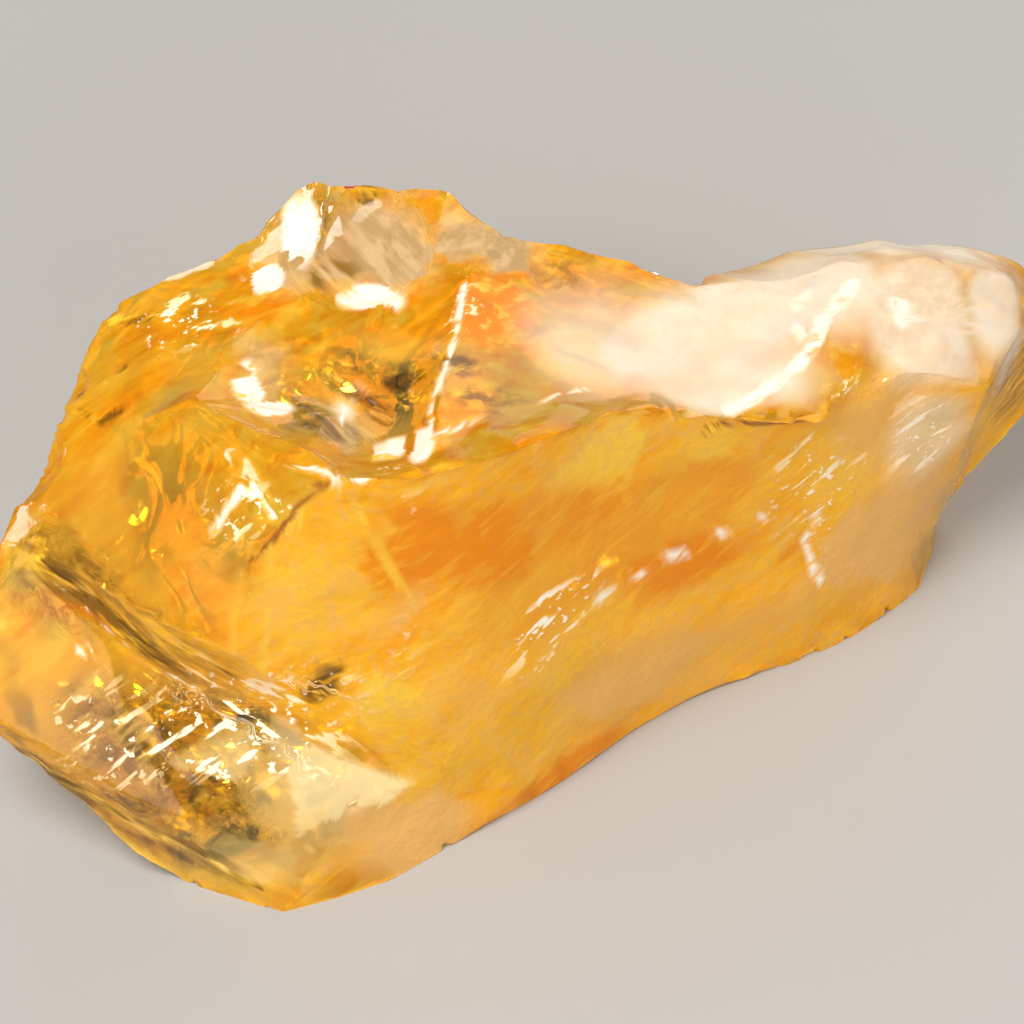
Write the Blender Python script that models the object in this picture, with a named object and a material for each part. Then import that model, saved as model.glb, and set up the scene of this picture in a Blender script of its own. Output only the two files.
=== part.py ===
"""Rough citrine crystal: a broken chunk of yellow quartz, about 55 mm long, lying on a flat break.

The stone is one solid. It is drawn as a cage of named corners, one polygon to a flat break, and
smoothed with a subdivision surface whose creases keep the ridges sharp. Conchoidal breaks are
dished, and small chips are scooped out of the ridges. All corner coordinates are millimetres in
the stone's own frame: +X along its length, +Y towards its back and +Z up from the table.
"""

from math import radians

import bpy
import bmesh
from mathutils import Matrix, Vector, noise

NAME = "citrine_crystal"
MM = 0.001

# Driving dimensions
STONE_LENGTH = 54.1 * MM      # blunt tip to tail, along X
SMOOTH_LEVELS = 2             # subdivisions of the cage
DISH_SPAN = 0.55              # size of a dish's floor, as a share of its break
GRAIN_HEIGHT = 0.10           # mm, unevenness of a natural break
GRAIN_LENGTH = 3.0            # mm, distance between its high spots
GRAIN_FADE = 1.0              # mm above the table over which it comes in
RIDGE_ANGLE = radians(24)     # a steeper bend than this is shaded as a ridge
CHIP_SIDES = 20               # segments round a chip's ball cutter

# Corners of the breaks, in mm
CORNERS = {
    # blunt tip at the left end
    "tip": (-26.4, -10.1, 14.5), "tip_low": (-26.3, -11.4, 11.8), "tip_back": (-25.4, -5.0, 12.5),
    # rim along the back of the top, from the tip to the saddle
    "rim_a": (-24.3, -6.6, 17.6), "rim_b": (-22.0, -2.4, 20.0), "rim_c": (-21.4, -1.1, 20.6),
    "rim_d": (-20.5, 1.2, 21.2), "rim_e": (-19.4, 4.4, 22.0), "rim_f": (-17.1, 5.2, 22.6),
    "rim_g": (-13.8, 6.1, 23.6), "rim_h": (-11.2, 7.8, 24.6), "peak_w": (-9.0, 9.3, 25.8),
    "peak_m": (-8.2, 9.0, 26.0), "peak_e": (-6.4, 9.1, 26.2), "rim_i": (-5.0, 8.7, 25.6),
    "rim_j": (-2.7, 9.1, 25.0), "rim_k": (-0.8, 8.0, 24.2), "rim_l": (0.7, 7.7, 23.6),
    "rim_m": (4.6, 7.2, 23.0), "rim_n": (7.6, 6.6, 22.4), "saddle": (10.0, 6.1, 21.6),
    "nape_a": (13.1, 6.8, 20.6), "nape_b": (15.3, 7.7, 20.4),
    # breaks between the rim and the crest
    "glint_a": (-8.7, 6.8, 24.6), "glint_b": (-9.8, 5.4, 24.0), "glint_c": (-12.9, 5.1, 23.0),
    "bowl_a": (-9.6, 4.0, 23.8), "bowl_b": (-7.3, 3.3, 24.3), "bowl_c": (-4.8, 4.5, 24.1),
    "bowl_d": (-1.5, 5.1, 23.8), "spark": (-6.4, 1.8, 24.3),
    "brow_a": (-13.1, 0.9, 23.9), "brow_b": (-16.5, 1.5, 23.4),
    "sill_a": (-19.3, -2.3, 21.8), "sill_b": (-17.6, -3.2, 23.0), "sill_c": (-16.1, -3.2, 24.0),
    "edge_a": (-2.6, -1.6, 24.9), "edge_b": (-3.3, -6.0, 26.0),
    "bed_a": (1.8, 3.5, 22.6), "bed_b": (4.2, -2.1, 24.2), "bed_c": (7.0, 3.1, 21.3),
    "bed_d": (11.1, 3.8, 20.2),
    # crest between the top and the front
    "crest_a": (-14.7, -3.3, 24.8), "crest_b": (-12.1, -5.4, 25.8), "crest_c": (-10.5, -6.4, 26.1),
    "crest_d": (-8.8, -7.1, 26.3), "crest_e": (-7.6, -8.7, 26.4), "crest_f": (-5.6, -9.1, 26.6),
    "crest_g": (-3.4, -8.8, 26.6), "crest_h": (0.4, -7.4, 26.3), "crest_i": (3.7, -5.3, 25.8),
    "crest_j": (5.1, -4.3, 25.2), "crest_k": (8.5, -3.0, 23.8), "crest_l": (11.5, -2.3, 22.2),
    # steps under the crest's left end, and the left cheek
    "steep_a": (-14.7, -4.5, 24.4), "steep_b": (-13.5, -5.6, 24.5), "steep_c": (-12.5, -7.1, 24.2),
    "steep_d": (-11.4, -7.7, 23.9), "seam_a": (-10.3, -8.7, 23.0), "seam_b": (-12.0, -9.5, 20.6),
    "step": (-13.5, -8.5, 21.6), "cheek": (-16.8, -6.8, 20.0),
    # glassy window: its upper ridge, the bevel under it, its frosted side and its lower ridge
    "win_a": (-23.0, -7.0, 16.8), "win_b": (-22.2, -7.1, 17.3), "win_c": (-19.7, -8.2, 17.2),
    "win_d": (-17.9, -9.6, 16.5), "win_e": (-15.4, -10.6, 15.9), "win_f": (-12.7, -11.3, 15.0),
    "win_g": (-9.4, -11.6, 11.4), "win_h": (-6.8, -11.9, 8.3), "apex": (-4.1, -12.8, 5.4),
    "band_a": (-20.5, -8.2, 13.6), "band_b": (-17.7, -9.7, 12.0), "band_c": (-13.8, -11.3, 11.3),
    "frost_a": (-7.5, -13.7, 5.5), "frost_b": (-8.1, -14.7, 3.9), "frost_c": (-9.5, -15.6, 2.4),
    "toe_b": (-10.0, -16.4, 0.8),
    "glass_a": (-19.5, -11.2, 10.2), "glass_b": (-13.8, -13.4, 7.4), "glass_c": (-9.3, -13.4, 7.9),
    "low_a": (-24.4, -12.4, 10.4), "low_b": (-20.5, -13.5, 8.2), "low_c": (-17.8, -14.2, 6.4),
    "low_d": (-15.6, -14.5, 5.1), "low_e": (-13.3, -15.1, 3.6), "low_f": (-11.3, -15.8, 1.9),
    # keel under the overhanging left end
    "keel_a": (-26.0, -11.5, 10.0), "keel_b": (-23.5, -12.7, 8.6), "keel_c": (-19.7, -13.9, 4.4),
    "belly": (-19.0, -6.0, 5.0),
    # foot: the outline of the flat break that it rests on, then the rise under the tail
    "heel_a": (-15.7, -14.9, 0), "heel_b": (-13.3, -15.8, 0), "toe": (-10.7, -16.7, 0),
    "foot_a": (-7.8, -15.8, 0), "foot_b": (-5.3, -14.8, 0), "foot_c": (-2.5, -12.9, 0),
    "foot_d": (-0.4, -11.3, 0), "foot_e": (1.9, -10.0, 0), "foot_f": (4.8, -7.7, 0),
    "foot_g": (6.7, -5.9, 0), "foot_h": (9.8, -3.9, 0), "foot_i": (13.0, -2.6, 0),
    "foot_j": (15.8, -1.4, 0), "foot_k": (17.8, -0.3, 0), "foot_l": (20.1, 1.4, 0),
    "foot_m": (21.6, 2.9, 0), "foot_n": (22.4, 5.2, 0), "foot_o": (22.7, 7.1, 0.6),
    "foot_p": (23.5, 7.7, 1.8), "foot_q": (26.1, 9.6, 4.6), "foot_r": (27.0, 10.0, 6.0),
    "sole_a": (-15.6, -4.0, 0), "sole_b": (-12.0, 3.5, 0), "sole_c": (-9.0, 8.8, 0),
    "sole_d": (1.5, 7.8, 0), "sole_e": (9.0, 4.8, 0), "sole_f": (14.0, 7.0, 0),
    "sole_g": (19.6, 10.2, 0), "sole_h": (22.2, 8.2, 0),
    # front: a low ledge, and the gentle swell of the big face
    "ledge_a": (-1.2, -12.1, 0.6), "ledge_b": (1.5, -10.5, 1.4), "ledge_c": (4.4, -7.8, 2.4),
    "ledge_d": (6.4, -6.2, 2.2),
    "face_a": (-8.1, -10.3, 16.6), "face_b": (-2.8, -10.4, 14.9), "face_c": (3.1, -6.9, 13.3),
    "face_d": (9.1, -3.3, 11.5), "face_e": (15.1, -0.6, 11.1),
    # lobe at the right end: the bright break on its shoulder, its collar, brim, pane and tail
    "break_a": (13.4, -0.4, 22.0), "break_b": (15.4, 2.1, 21.7), "break_c": (17.1, 5.0, 21.0),
    "break_d": (18.1, 8.3, 20.4),
    "collar_a": (14.8, 0.2, 21.4), "collar_b": (16.5, -0.5, 20.2), "stain": (14.1, -1.3, 20.4),
    "lobe_a": (20.8, 9.2, 19.8), "lobe_b": (24.1, 9.8, 18.6), "lobe_c": (26.1, 9.7, 17.2),
    "lobe_d": (26.2, 7.9, 16.0),
    "brim_a": (18.0, 2.1, 20.4), "brim_b": (19.4, 2.1, 20.0), "brim_c": (21.9, 2.9, 18.8),
    "brim_d": (24.4, 3.3, 17.2),
    "pane_a": (18.9, 1.5, 17.0), "pane_b": (18.2, 1.4, 15.0), "pane_c": (19.3, 1.5, 11.3),
    "pane_d": (20.7, 1.9, 11.0), "shin": (23.5, 4.0, 12.0), "tail": (27.7, 9.9, 12.5),
    "back_a": (11.2, 9.2, 18.0), "back_b": (14.9, 10.7, 18.2), "back_c": (18.2, 11.4, 18.4),
    "back_d": (22.9, 11.7, 17.6), "back_e": (25.5, 11.8, 16.6), "back_f": (26.9, 11.6, 15.2),
    # crooked ridge half-way down the back
    "rear_a": (-20.8, 1.4, 11.5), "rear_b": (-14.6, 8.2, 17.0), "rear_c": (-7.2, 11.4, 9.5),
    "rear_d": (-0.6, 10.2, 15.5), "rear_e": (8.4, 8.2, 7.5), "rear_f": (16.4, 11.8, 12.5),
    "rear_g": (22.0, 12.0, 7.0), "rear_h": (26.6, 11.0, 9.5),
}

# Each natural break: how deep it is dished in mm (below zero it swells), and its polygons.
# An edge between two breaks is a ridge; one inside a break is smooth.
BREAKS = {
    "glint": (0.25, ["rim_g rim_h peak_w peak_m glint_a glint_b glint_c"]),
    "bowl": (0.5, ["peak_m peak_e rim_i bowl_b bowl_a glint_b glint_a"]),
    "haze": (0.3, ["rim_i rim_j rim_k bowl_d bowl_c bowl_b"]),
    "spark": (0.0, ["bowl_b bowl_c spark"]),
    "scoop": (1.7, [
        "brow_a bowl_a bowl_b spark bowl_c bowl_d edge_a edge_b crest_g crest_f crest_e crest_d "
        "crest_c crest_b crest_a"]),
    "shoulder": (0.0, ["rim_c rim_d rim_e rim_f brow_b sill_b sill_a"]),
    "brow": (0.3, ["rim_f rim_g glint_c glint_b bowl_a brow_a crest_a sill_c sill_b brow_b"]),
    "strip": (0.0, [
        "sill_c crest_a crest_b crest_c crest_d crest_e seam_a steep_d steep_c steep_b steep_a"]),
    "step": (0.0, ["steep_c steep_d seam_a seam_b step"]),
    "cheek": (0.0, [
        "rim_a rim_b rim_c sill_a cheek win_b win_a tip",
        "sill_a sill_b sill_c steep_a steep_b steep_c step cheek",
        "cheek step seam_b win_f win_e win_d win_c win_b"]),
    "bevel": (0.0, [
        "win_a win_b win_c band_a", "win_c win_d band_b band_a", "win_d win_e band_c band_b",
        "win_e win_f win_g band_c"]),
    "window": (0.0, [
        "tip win_a band_a glass_a low_b low_a tip_low",
        "band_a band_b glass_b low_d low_c low_b glass_a",
        "band_b band_c win_g glass_c glass_b", "win_g win_h apex frost_a frost_b glass_c",
        "glass_b glass_c frost_b frost_c toe_b low_f low_e low_d"]),
    "keel": (0.0, [
        "tip_low low_a keel_b keel_a", "low_a low_b keel_c keel_b", "low_b low_c low_d heel_a keel_c",
        "low_d low_e heel_b heel_a", "low_e low_f toe_b toe heel_b"]),
    "front": (0.0, [
        "crest_e seam_a seam_b win_f win_g face_a", "crest_e face_a face_b crest_g crest_f",
        "crest_g face_b face_c crest_i crest_h", "crest_i face_c face_d crest_k crest_j",
        "crest_k face_d face_e crest_l", "face_a win_g win_h apex face_b",
        "apex frost_a frost_b frost_c toe_b toe foot_a foot_b foot_c",
        "face_b apex foot_c ledge_a ledge_b face_c", "face_c ledge_b ledge_c ledge_d face_d",
        "face_d ledge_d foot_h foot_i foot_j face_e",
        "crest_l face_e pane_b pane_a brim_b brim_a collar_b stain",
        "face_e foot_j foot_k foot_l pane_c pane_b", "pane_c foot_l foot_m foot_n pane_d",
        "pane_d foot_n foot_o foot_p shin"]),
    "collar": (0.0, ["crest_l stain collar_b collar_a break_a"]),
    "ledge": (0.0, [
        "foot_c foot_d foot_e ledge_b ledge_a", "ledge_b foot_e foot_f ledge_c",
        "ledge_c foot_f foot_g ledge_d", "ledge_d foot_g foot_h"]),
    "pane": (0.25, ["brim_b pane_a pane_b pane_c pane_d shin brim_d brim_c"]),
    "flank": (0.2, ["brim_d shin foot_p foot_q foot_r tail lobe_d"]),
    "cream": (0.0, [
        "break_d lobe_a lobe_b lobe_c lobe_d brim_d brim_c brim_b brim_a break_c",
        "break_c brim_a collar_b collar_a break_a break_b"]),
    "nape": (0.0, [
        "saddle nape_a back_b back_a", "nape_a nape_b break_d back_c back_b",
        "break_d lobe_a lobe_b back_d back_c", "lobe_b lobe_c back_f back_e back_d",
        "lobe_c lobe_d tail back_f"]),
    "block": (0.0, ["bowl_d rim_k rim_l bed_a edge_a"]),
    "basin": (0.0, [
        "edge_a bed_a bed_b crest_i crest_h crest_g edge_b", "rim_l rim_m bed_c bed_a",
        "bed_a bed_c bed_b", "rim_m rim_n saddle bed_d bed_c",
        "bed_b bed_c bed_d crest_l crest_k crest_j crest_i",
        "saddle nape_a nape_b break_d break_c break_b bed_d", "bed_d break_b break_a crest_l"]),
    "rear_left": (0.4, ["tip rim_a rim_b rim_c rim_d rear_a tip_back"]),
    "rear_shoulder": (0.3, ["rim_d rim_e rim_f rear_b rear_a"]),
    "rear_peak": (0.5, ["rim_f rim_g rim_h peak_w rear_c rear_b"]),
    "rear_middle": (0.6, ["peak_w peak_m peak_e rim_i rim_j rear_d rear_c"]),
    "rear_basin": (0.0, ["rim_j rim_k rim_l rim_m rear_e rear_d", "rim_m rim_n saddle rear_e"]),
    "rear_saddle": (0.4, ["saddle back_a back_b rear_f rear_e"]),
    "rear_lobe": (-0.3, ["back_b back_c back_d rear_g rear_f"]),
    "rear_tail": (0.2, ["back_d back_e back_f tail rear_h rear_g"]),
    "under_a": (0.5, ["rear_a rear_b sole_b sole_a"]),
    "under_b": (0.4, ["rear_b rear_c sole_c sole_b"]),
    "under_c": (-0.5, ["rear_c rear_d sole_d sole_c"]),
    "under_d": (0.4, ["rear_d rear_e sole_e sole_d"]),
    "under_e": (0.3, ["rear_e rear_f sole_f sole_e"]),
    "under_f": (0.0, ["rear_f rear_g sole_g sole_f"]),
    "under_tail": (0.2, ["rear_g rear_h foot_r foot_q foot_p sole_h sole_g"]),
    "tail_tip": (0.0, ["tail foot_r rear_h"]),
    "tip_end": (0.0, ["tip tip_low keel_a tip_back"]),
    "overhang": (0.0, [
        "keel_a keel_b belly tip_back", "keel_b keel_c heel_a sole_a belly",
        "tip_back belly sole_a rear_a"]),
    "sole": (0.0, [
        "sole_a heel_a heel_b toe foot_a foot_b foot_c sole_c sole_b",
        "foot_c foot_d foot_e foot_f sole_d sole_c", "foot_f foot_g foot_h foot_i sole_e sole_d",
        "foot_i foot_j foot_k foot_l sole_f sole_e", "foot_l foot_m foot_n sole_h sole_g sole_f"]),
    "sole_lip": (0.0, ["foot_n foot_o foot_p sole_h"]),
}

# Ridges that are rounded: pairs of breaks and the crease between them, from 0 smooth to 1 sharp.
SOFT_RIDGES = {
    ("bowl", "haze"): 0.25, ("spark", "scoop"): 0.3, ("spark", "bowl"): 0.5,
    ("shoulder", "brow"): 0.4, ("block", "basin"): 0.35, ("nape", "cream"): 0.5,
    ("front", "window"): 0.75, ("front", "pane"): 0.6, ("front", "cream"): 0.3,
    ("front", "flank"): 0.8, ("front", "ledge"): 0.8, ("collar", "cream"): 0.6,
    ("rear_peak", "rear_middle"): 0.5, ("rear_middle", "rear_basin"): 0.5,
    ("rear_saddle", "rear_lobe"): 0.6, ("rear_lobe", "rear_tail"): 0.3,
    ("rear_lobe", "under_f"): 0.7, ("rear_tail", "under_f"): 0.5, ("under_a", "overhang"): 0.6,
    ("under_b", "under_c"): 0.4, ("under_e", "under_f"): 0.5,
}

# Chips knocked out of the ridges: the middle of each scar in mm, the way it faces, the radius of
# the ball that would fit it, and how deep the ball bites.
CHIPS = [
    ((-21.9, -2.6, 19.9), (-0.8, -0.2, 0.5), 4.0, 0.55),
    ((-20.6, 0.4, 21.2), (-0.7, 0.1, 0.7), 1.6, 0.45),
    ((-19.2, 4.3, 22.1), (-0.6, 0.5, 0.8), 1.5, 0.40),
    ((-12.4, 7.2, 24.4), (-0.3, 0.6, 0.7), 1.8, 0.40),
    ((-6.6, -8.9, 26.6), (0.1, -0.5, 0.9), 1.7, 0.30),
    ((-17.0, -3.3, 23.7), (-0.3, -0.5, 0.8), 1.3, 0.30),
    ((15.0, 1.5, 21.9), (0.1, -0.4, 0.9), 1.5, 0.35),
    ((9.9, -2.7, 23.1), (0.0, -0.5, 0.9), 1.6, 0.25),
    ((20.0, 2.1, 19.9), (0.1, -0.7, 0.7), 1.8, 0.30),
]

CITRINE = {
    "Base Color": (0.85, 0.42, 0.05, 1.0), "Roughness": 0.15, "IOR": 1.544, "Metallic": 0.0,
    "Transmission Weight": 0.8,
}


def clear_scene():
    """Take every object out of the open file."""
    for old in list(bpy.data.objects):
        bpy.data.objects.remove(old, do_unlink=True)


def citrine_material():
    """See-through yellow quartz."""
    material = bpy.data.materials.new("citrine")
    material.use_nodes = True
    shader = material.node_tree.nodes["Principled BSDF"]
    for socket, value in CITRINE.items():
        shader.inputs[socket].default_value = value
    return material


def add_object(name, bm):
    """A new object in the scene from a bmesh."""
    mesh = bpy.data.meshes.new(name)
    bm.to_mesh(mesh)
    bm.free()
    obj = bpy.data.objects.new(name, mesh)
    bpy.context.collection.objects.link(obj)
    return obj


def build_cage():
    """The cage of corners and breaks, with a ridge crease on each edge between two breaks."""
    bm = bmesh.new()
    corner = {name: bm.verts.new(place) for name, place in CORNERS.items()}
    owner = {}
    for title, (_, polygons) in BREAKS.items():
        for polygon in polygons:
            face = bm.faces.new([corner[name] for name in polygon.split()])
            owner[face] = title
    bmesh.ops.recalc_face_normals(bm, faces=bm.faces)

    crease = bm.edges.layers.float.new("crease_edge")
    for edge in bm.edges:
        one, other = (owner[face] for face in edge.link_faces)
        if one != other:
            soft = SOFT_RIDGES.get((one, other), SOFT_RIDGES.get((other, one), 1.0))
            edge[crease] = soft
    for face, title in list(owner.items()):
        depth = BREAKS[title][0]
        if depth:
            dish(bm, face, depth, crease)
    return add_object("cage", bm)


def dish(bm, face, depth, crease):
    """Sink the middle of a break by depth mm: its outline is repeated smaller, further in."""
    middle = face.calc_center_median()
    inward = -face.normal * depth
    bmesh.ops.inset_individual(bm, faces=[face], thickness=0.0)
    for vert in face.verts:
        vert.co = middle.lerp(vert.co, DISH_SPAN) + inward
    for edge in face.edges:
        edge[crease] = 0.0


def smoothed(cage):
    """The cage's subdivision surface as a bmesh, in mm."""
    smooth = cage.modifiers.new("smooth", "SUBSURF")
    smooth.levels = SMOOTH_LEVELS
    smooth.render_levels = SMOOTH_LEVELS
    depsgraph = bpy.context.evaluated_depsgraph_get()
    bm = bmesh.new()
    bm.from_object(cage, depsgraph)
    bpy.data.objects.remove(cage, do_unlink=True)
    return bm


def roughen(bm):
    """Slight unevenness of the breaks; the flat that it rests on stays flat."""
    bm.normal_update()
    moves = {}
    for vert in bm.verts:
        fade = min(vert.co.z / GRAIN_FADE, 1.0)
        height = noise.noise(vert.co / GRAIN_LENGTH)
        moves[vert] = vert.normal * (height * GRAIN_HEIGHT * fade)
    for vert, move in moves.items():
        vert.co += move


def chip_cutters():
    """One hidden object with a ball for each chip."""
    bm = bmesh.new()
    for place, facing, radius, bite in CHIPS:
        facing = Vector(facing).normalized()
        middle = Vector(place) + facing * (radius - bite)
        turn = facing.to_track_quat("Z", "Y").to_matrix().to_4x4()
        bmesh.ops.create_uvsphere(
            bm, u_segments=CHIP_SIDES, v_segments=CHIP_SIDES // 2, radius=radius,
            matrix=Matrix.Translation(middle) @ turn)
    cutters = add_object("chip_cutters", bm)
    cutters.hide_render = True
    cutters.display_type = "WIRE"
    return cutters


def to_table(bm):
    """Scale to the stone's real length, with the origin under the middle of its box."""
    low = Vector([min(vert.co[axis] for vert in bm.verts) for axis in range(3)])
    high = Vector([max(vert.co[axis] for vert in bm.verts) for axis in range(3)])
    scale = STONE_LENGTH / (high.x - low.x)
    origin = Vector(((low.x + high.x) / 2, (low.y + high.y) / 2, low.z))
    for vert in bm.verts:
        vert.co = (vert.co - origin) * scale


def rough_stone():
    """The stone before its ridges were chipped, as a bmesh in mm."""
    bm = smoothed(build_cage())
    roughen(bm)
    return bm


def build_crystal():
    """The whole stone."""
    stone = add_object("stone", rough_stone())
    cutters = chip_cutters()
    chips = stone.modifiers.new("chips", "BOOLEAN")
    chips.operation = "DIFFERENCE"
    chips.solver = "EXACT"
    chips.object = cutters
    depsgraph = bpy.context.evaluated_depsgraph_get()
    bm = bmesh.new()
    bm.from_object(stone, depsgraph)
    for scaffold in (stone, cutters):
        bpy.data.objects.remove(scaffold, do_unlink=True)
    to_table(bm)
    crystal = add_object(NAME, bm)
    crystal.data.shade_smooth()
    crystal.data.set_sharp_from_angle(angle=RIDGE_ANGLE)
    crystal.data.materials.append(citrine_material())
    return crystal


clear_scene()
build_crystal()
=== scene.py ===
"""Rough citrine crystal: a broken chunk of yellow quartz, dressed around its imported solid.

The stone is clear quartz with milky zones, an orange heart, healed cracks inside and a frosted
skin on its older breaks. Everything is in millimetres here and turned to metres when a mesh is
written, in the solid's own frame: +X along the stone, +Y towards its back, +Z up.
"""

import math

import bmesh
import bpy
import numpy as np
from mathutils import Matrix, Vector
from mathutils.bvhtree import BVHTree


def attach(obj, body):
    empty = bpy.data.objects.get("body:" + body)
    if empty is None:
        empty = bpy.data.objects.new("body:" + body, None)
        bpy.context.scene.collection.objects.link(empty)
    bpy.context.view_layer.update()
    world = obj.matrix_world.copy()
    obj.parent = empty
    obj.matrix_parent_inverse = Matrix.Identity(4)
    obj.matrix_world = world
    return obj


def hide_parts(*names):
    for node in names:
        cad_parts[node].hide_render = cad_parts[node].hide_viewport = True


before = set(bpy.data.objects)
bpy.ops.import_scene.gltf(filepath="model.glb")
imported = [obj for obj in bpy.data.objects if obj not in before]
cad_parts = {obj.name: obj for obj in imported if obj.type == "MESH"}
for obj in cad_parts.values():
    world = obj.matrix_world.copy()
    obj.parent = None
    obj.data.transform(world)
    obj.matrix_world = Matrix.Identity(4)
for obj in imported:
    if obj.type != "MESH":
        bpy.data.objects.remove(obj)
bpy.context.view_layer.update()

bl_info = {
    "name": "Rough citrine crystal",
    "version": (1, 0, 0),
    "blender": (4, 5, 0),
    "location": "View3D > Sidebar > Citrine",
    "description": "Dresses the solid of a rough citrine crystal and sets it on a pale floor",
    "category": "Object",
}

MM = 0.001
NODE = "citrine_crystal"
BODY = "root"


# ---------- sizes and colours

class CitrineSizes(bpy.types.PropertyGroup):
    """Sizes of the stone's finer surface."""

    ridge_angle: bpy.props.FloatProperty(
        name="Ridge angle", description="A steeper bend than this stays a sharp ridge",
        default=math.radians(20), subtype="ANGLE")
    skin_height: bpy.props.FloatProperty(
        name="Skin height", description="Height of the dimples of the old, frosted breaks",
        default=0.10 * MM, unit="LENGTH", subtype="DISTANCE", precision=5)
    skin_length: bpy.props.FloatProperty(
        name="Skin length", description="Distance between those dimples",
        default=1.6 * MM, unit="LENGTH", subtype="DISTANCE", precision=4)
    nick_depth: bpy.props.FloatProperty(
        name="Nick depth", description="Depth of the small nicks along the ridges",
        default=0.16 * MM, unit="LENGTH", subtype="DISTANCE", precision=5)


class CitrineColours(bpy.types.PropertyGroup):
    """Colours of the stone, as sRGB hex values."""

    honey: bpy.props.StringProperty(
        name="Honey", description="The stone's main yellow", default="#FBB012")
    deep: bpy.props.StringProperty(
        name="Deep orange", description="The iron-rich heart", default="#EF8A00")
    straw: bpy.props.StringProperty(
        name="Straw", description="Lighter streaks in the yellow", default="#FCC83C")
    beige: bpy.props.StringProperty(
        name="Beige", description="The cloudy skin at the foot", default="#E6AE60")
    # Cream: the milky quartz of the saddle and cap, painted brighter with the sheen and glow of the
    # light from behind.
    cream: bpy.props.StringProperty(
        name="Cream", description="The milky saddle and cap", default="#F7E6CC")
    dust: bpy.props.StringProperty(
        name="Dust", description="The finely crushed skin of the dished break", default="#CDA877")
    # Brown: smoky olive-brown patches, also used as painted shade on the crests of the fan's ribs
    # and as painted dark reflection at the bevel's left end.
    brown_and_shade: bpy.props.StringProperty(
        name="Brown", description="Smoky olive-brown patches", default="#8E6A2A")
    glow: bpy.props.StringProperty(
        name="Glow", description="Tint of the glassy breaks, over the colour inside",
        default="#FFCF58")
    pale: bpy.props.StringProperty(
        name="Pale", description="The palest glassy skin, and every skin seen from inside",
        default="#FFE2A0")
    # Painted dark reflection: the umber of the glassy slivers, of the bevel's left end and of
    # patches on the underside's inner face.
    dark_reflection: bpy.props.StringProperty(
        name="Umber", description="Glassy slivers that show the dark inside", default="#5A3812")
    rust: bpy.props.StringProperty(
        name="Rust", description="Iron oxide that has crept into the cracks", default="#9A5A22")
    # The splinter colour paints the crushed edges, and also the painted highlights and painted
    # glints.
    splinter_and_highlight: bpy.props.StringProperty(
        name="Splinter", description="Crushed and splintered edges", default="#F8ECD6")
    healed: bpy.props.StringProperty(
        name="Healed cracks", description="Planes of bubbles inside", default="#FFE2A8")
    film: bpy.props.StringProperty(
        name="Open cracks", description="Films of air inside", default="#FFF0C8")


def linear(colour):
    """An sRGB hex colour as linear RGBA, by the sRGB curve."""
    parts = [int(colour[i:i + 2], 16) / 255 for i in (1, 3, 5)]
    return (*[c / 12.92 if c <= 0.04045 else ((c + 0.055) / 1.055) ** 2.4 for c in parts], 1)


# ---------- numpy helpers

LATTICE_SIZE = 32
LATTICE = np.random.RandomState(7).uniform(-1, 1, (LATTICE_SIZE,) * 3)
LAYER_SHIFT = 9.7
# Three layers of noise, each half as high as the last, reach 1 + 1/2 + 1/4.
THREE_LAYERS = 1.75
# A zone is at full strength out to this share of its reach.
ZONE_CORE = 0.35
POINTS_AT_ONCE = 4000


def lattice_noise(points, length, shift=0.0):
    """Smooth noise from -1 to 1: random numbers on a lattice of that spacing, blended by smooth
    cubic weights along each axis."""
    q = points / length + shift
    base = np.floor(q).astype(int)
    t = q - base
    t = t * t * (3 - 2 * t)
    total = np.zeros(len(points))
    for dx in (0, 1):
        for dy in (0, 1):
            for dz in (0, 1):
                weight = (np.abs(1 - dx - t[:, 0]) * np.abs(1 - dy - t[:, 1])
                          * np.abs(1 - dz - t[:, 2]))
                corner = (base + (dx, dy, dz)) % LATTICE_SIZE
                total += weight * LATTICE[corner[:, 0], corner[:, 1], corner[:, 2]]
    return total


def layered_noise(points, length, layers=3, shift=0.0):
    """Lattice noise with finer and weaker layers added, each half the length and the height of
    the last. The sum is divided by the height of three layers."""
    return sum(lattice_noise(points, length / 2 ** i, shift + LAYER_SHIFT * i) / 2 ** i
               for i in range(layers)) / THREE_LAYERS


def step_up(x, low, high):
    """0 below low, 1 above high, and a smooth cubic rise between."""
    t = np.clip((x - low) / (high - low), 0, 1)
    return t * t * (3 - 2 * t)


def spot(points, centre, reach):
    """1 at the centre and 0 past the reach: a soft ellipsoid with the three half axes given."""
    r = np.linalg.norm((points - np.array(centre)) / np.array(reach), axis=1)
    return 1 - step_up(r, ZONE_CORE, 1.0)


def nearest(points, others):
    """Distance from each point to the nearest of the others, and which one it is. Squared
    distances come from one matrix product for a few thousand points at a time."""
    far, which = [], []
    for chunk in np.array_split(points, max(1, len(points) // POINTS_AT_ONCE)):
        square = (chunk ** 2).sum(1)[:, None] + (others ** 2).sum(1) - 2 * chunk @ others.T
        which.append(square.argmin(1))
        far.append(np.sqrt(np.maximum(square.min(1), 0)))
    return np.concatenate(far), np.concatenate(which)


def along(line, spacing=0.15):
    """Points at even steps along a line of corners, in mm."""
    line = np.array(line, float)
    lengths = np.linalg.norm(np.diff(line, axis=0), axis=1)
    at = np.concatenate([[0], np.cumsum(lengths)])
    steps = np.linspace(0, at[-1], max(2, int(at[-1] / spacing)))
    return np.stack([np.interp(steps, at, line[:, axis]) for axis in range(3)], axis=1)


# ---------- zones of the stone

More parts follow.
